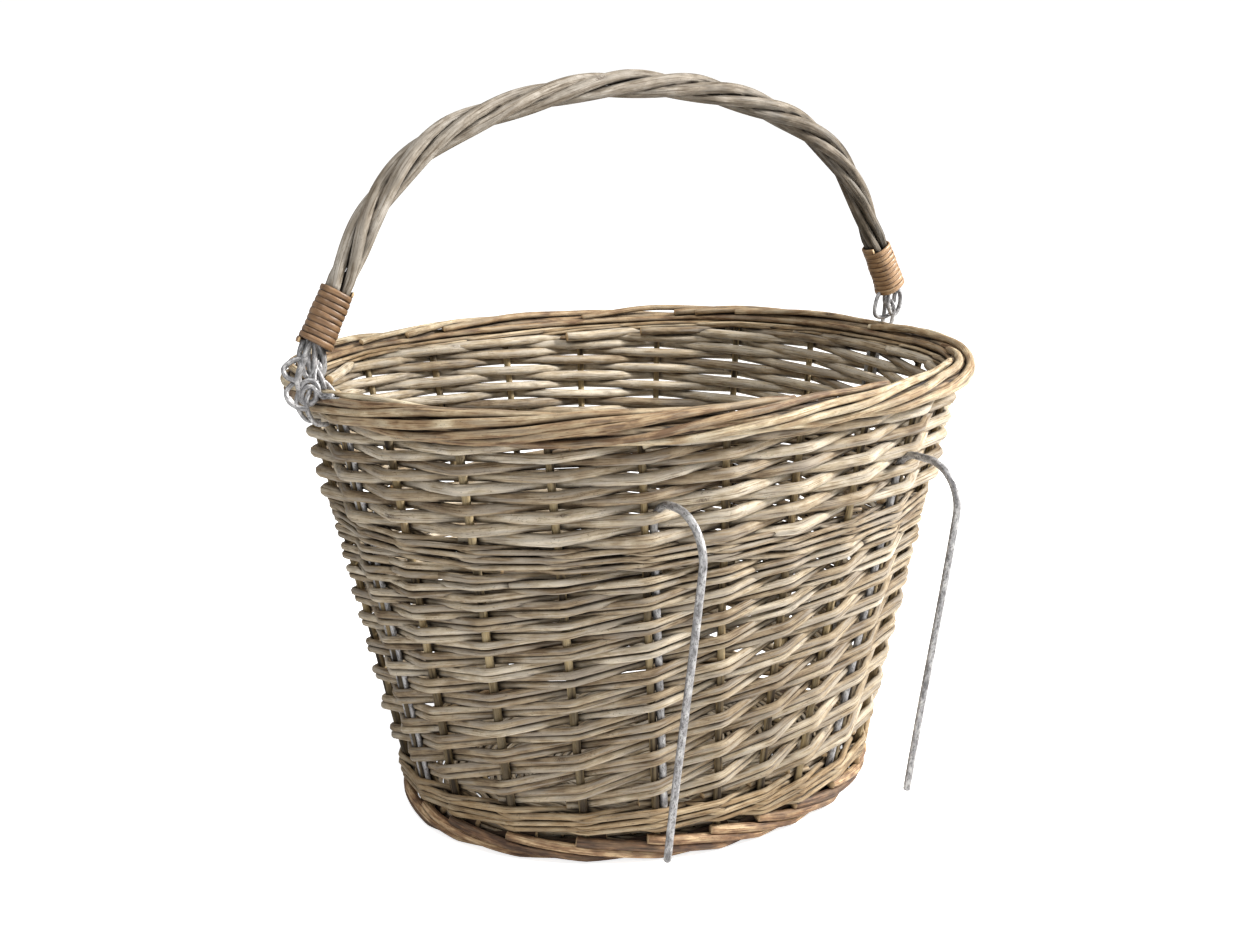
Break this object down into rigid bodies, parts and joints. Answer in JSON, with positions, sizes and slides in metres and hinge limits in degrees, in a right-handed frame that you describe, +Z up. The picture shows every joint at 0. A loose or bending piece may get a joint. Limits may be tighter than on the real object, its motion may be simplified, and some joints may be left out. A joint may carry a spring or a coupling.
{
  "type": "woven market basket",
  "caption": "Oval flared willow basket with a twisted rod swing handle on wire eyes and long wire hooks for hanging it on a bar.",
  "frame": {"origin": "on the floor, under the centre of the overall footprint with the hooks", "axes": "+X along the long axis of the oval and along the handle's hinge, -Y to the side with the hooks, +Z up"},
  "size_m": [0.404, 0.3378, 0.4033],
  "materials": {
    "washed_willow": "peeled willow rods, grey washed, dry and matt with faint streaks",
    "brown_willow": "buff willow rods, golden to orange brown, slightly waxy",
    "honey_cane": "flat split cane, honey brown, satin",
    "galvanised_wire": "galvanised steel wire, dull and mottled with small scuffs"
  },
  "bodies": {
    "basket": {"bottom_wale": "brown_willow", "lower_weave": "washed_willow", "middle_wale": "washed_willow", "upper_weave": "washed_willow", "top_wale": "washed_willow", "foot_border": "brown_willow", "rim_border": "brown_willow", "base_weave": "washed_willow", "base_stick_short_1": "washed_willow", "base_stick_short_2": "washed_willow", "base_stick_short_3": "washed_willow", "base_stick_short_4": "washed_willow", "base_stick_short_5": "washed_willow", "base_stick_short_6": "washed_willow", "base_stick_short_7": "washed_willow", "base_stick_long_1": "washed_willow", "base_stick_long_2": "washed_willow", "base_stick_long_3": "washed_willow", "stake_01": "washed_willow", "stake_02": "washed_willow", "stake_03": "washed_willow", "stake_04": "washed_willow", "stake_05": "washed_willow", "stake_06": "washed_willow", "stake_07": "washed_willow", "stake_08": "washed_willow", "stake_09": "washed_willow", "stake_10": "washed_willow", "stake_11": "washed_willow", "stake_12": "washed_willow", "stake_13": "washed_willow", "stake_14": "washed_willow", "stake_15": "washed_willow", "stake_16": "washed_willow", "stake_17": "washed_willow", "stake_18": "washed_willow", "stake_19": "washed_willow", "stake_20": "washed_willow", "stake_21": "washed_willow", "stake_22": "washed_willow", "hook_left": "galvanised_wire", "hook_right": "galvanised_wire", "rim_wire_left": "galvanised_wire", "rim_wire_right": "galvanised_wire"},
    "handle": {"handle_rod_1": "washed_willow", "handle_rod_2": "washed_willow", "handle_rod_3": "washed_willow", "handle_rod_4": "washed_willow", "handle_binding_left": "honey_cane", "handle_binding_right": "honey_cane", "handle_eye_left": "galvanised_wire", "handle_eye_right": "galvanised_wire"}
  },
  "joints": [
    {"name": "handle_swing", "type": "hinge", "parent": "basket", "child": "handle", "pos_m": [0, 0.009, 0.26], "axis": [1, 0, 0], "range_deg": [-88, 88]}
  ]
}
